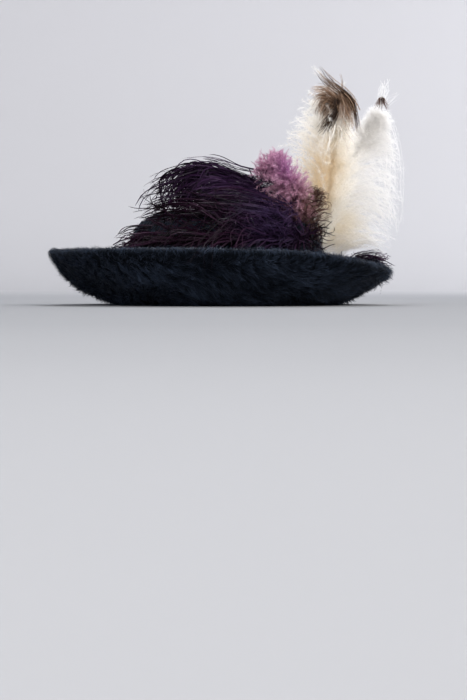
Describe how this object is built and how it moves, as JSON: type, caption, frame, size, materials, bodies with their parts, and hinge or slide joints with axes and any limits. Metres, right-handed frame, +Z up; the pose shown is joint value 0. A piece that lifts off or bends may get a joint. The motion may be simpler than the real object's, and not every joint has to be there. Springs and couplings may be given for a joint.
{
  "type": "picture hat",
  "caption": "Wide-brimmed picture hat of dark long-napped plush, the brim turned up all round, trimmed with ostrich plumes at one side of the crown.",
  "frame": {"origin": "middle of the hat's outline, on the plane of the flat ring round the head opening that it stands on", "axes": "+Z up through the crown, -Y towards the front of the brim, +X towards the side that carries the tall plumes"},
  "size_m": [0.3687, 0.3705, 0.257],
  "materials": {
    "plush": "long-napped beaver plush, blue-black, soft sheen",
    "band": "dark brown grosgrain, matt",
    "aubergine_deep": "ostrich flues dyed near-black purple",
    "aubergine": "ostrich flues dyed aubergine, slight sheen",
    "mauve": "short curled ostrich flues dyed mauve",
    "brown": "frizzy undyed brown flues",
    "cream": "soft cream ostrich flues, the tip shaded dark brown",
    "white": "fine translucent white ostrich flues"
  },
  "bodies": {
    "root": {"brim": "plush", "crown": "plush", "head_band": "band", "plume_aubergine_wrap": "aubergine_deep", "plume_aubergine_spray": "aubergine", "plume_mauve": "mauve", "plume_brown": "brown", "plume_cream": "cream", "plume_white": "white", "plume_dark": "aubergine_deep"}
  },
  "joints": []
}
